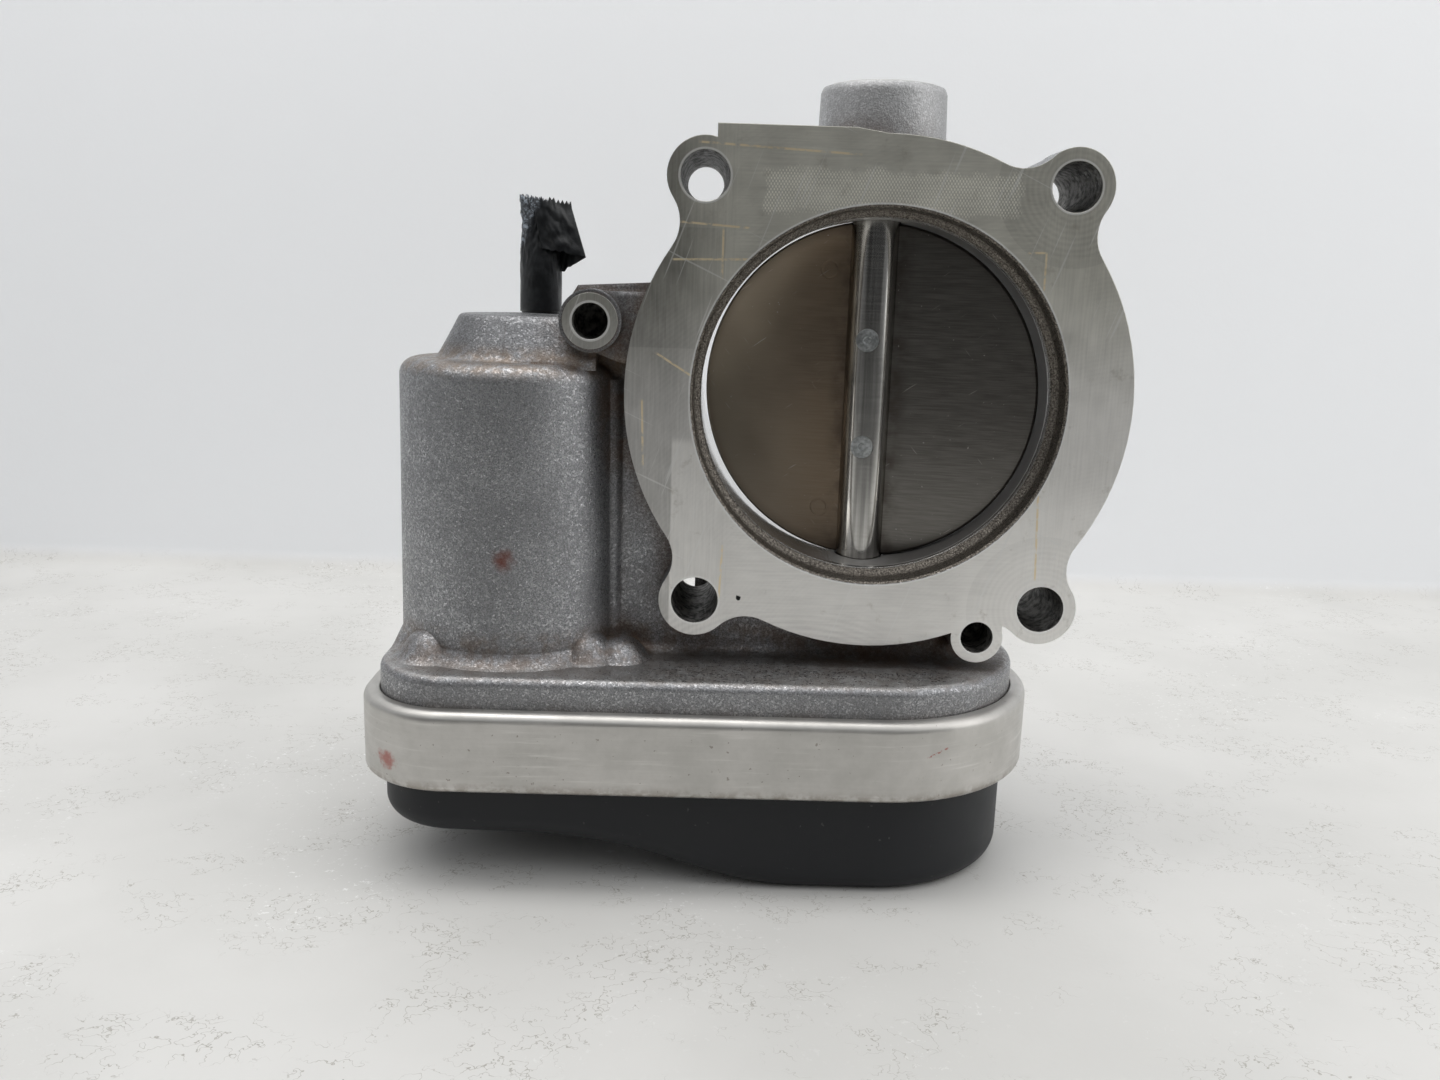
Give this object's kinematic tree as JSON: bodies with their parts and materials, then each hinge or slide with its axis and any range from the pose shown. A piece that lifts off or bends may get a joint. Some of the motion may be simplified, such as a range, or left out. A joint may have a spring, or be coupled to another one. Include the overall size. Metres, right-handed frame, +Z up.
{
  "type": "electronic throttle body",
  "caption": "Electronic throttle body: flanged bore with a butterfly plate, upright motor housing, gear tray closed by a crimped band and a black cover, taped cable.",
  "frame": {"origin": "centre of the throttle bore on the machined flange face", "axes": "+X to the right seen from the flange side, +Y into the casting along the bore towards the hose end, +Z up along the throttle shaft, away from the gear cover"},
  "size_m": [0.1529, 0.0784, 0.1596],
  "materials": {
    "cast_aluminium": "sandy cast skin, machined where it mates",
    "black_plastic": "satin moulded",
    "band_aluminium": "satin rolled sheet with scuffs",
    "black_rubber": "matt",
    "polished_steel": "ground",
    "plate_steel": "brushed, stained brown",
    "zinc_steel": "zinc plated",
    "bearing_steel": "ground",
    "plated_steel": "satin plated",
    "natural_plastic": "moulded",
    "spring_steel": "oiled",
    "gear_plastic": "glass filled, moulded",
    "magnet": "sintered",
    "bronze": "sintered",
    "copper_windings": "varnished windings on a steel core",
    "brass": "bright",
    "circuit_board": "lacquered",
    "wire_insulation": "extruded",
    "black_tape": "wrinkled tape"
  },
  "bodies": {
    "housing": {"throttle_housing": "cast_aluminium", "gear_cover": "black_plastic", "crimp_band": "band_aluminium", "cover_gasket": "black_rubber", "upper_bearing": "bearing_steel", "lower_bearing": "bearing_steel", "shaft_seals": "black_rubber", "end_plug": "plated_steel", "spring_sleeve": "natural_plastic", "return_spring": "spring_steel", "intermediate_pin": "polished_steel", "motor_can": "plated_steel", "motor_end_plate": "plated_steel", "motor_bushes": "bronze", "motor_magnets": "magnet", "motor_brushes": "magnet", "motor_screws": "zinc_steel", "motor_spring_washer": "spring_steel", "sensor_board": "circuit_board", "sensor_chips": "black_plastic", "lead_wires": "wire_insulation", "terminal_block": "black_plastic", "contact_strips": "brass", "motor_leads": "brass", "harness_grommet": "black_rubber", "cable_sleeve": "black_tape", "tape_wrap": "black_tape", "tape_flap": "black_tape"},
    "throttle": {"throttle_shaft": "polished_steel", "throttle_plate": "plate_steel", "plate_screws": "zinc_steel", "sector_gear": "gear_plastic", "sensor_magnet": "magnet"},
    "intermediate": {"intermediate_gear": "natural_plastic"},
    "rotor": {"motor_shaft": "polished_steel", "motor_pinion": "brass", "motor_armature": "copper_windings"}
  },
  "joints": [
    {"name": "throttle_turn", "type": "hinge", "parent": "housing", "child": "throttle", "pos_m": [0, 0.0185, 0], "axis": [0, 0, -1], "range_deg": [-9, 76]},
    {"name": "intermediate_spin", "type": "hinge", "parent": "housing", "child": "intermediate", "pos_m": [-0.042, 0.0185, 0], "axis": [0, 0, -1], "range_deg": [-128, 16]},
    {"name": "rotor_spin", "type": "hinge", "parent": "housing", "child": "rotor", "pos_m": [-0.074, 0.0185, 0], "axis": [0, 0, -1], "range_deg": [-66, 550]}
  ],
  "couplings": [
    {"joint": "intermediate_spin", "follows": "throttle_turn", "ratio": -1.6667},
    {"joint": "rotor_spin", "follows": "throttle_turn", "ratio": 7.2222}
  ]
}
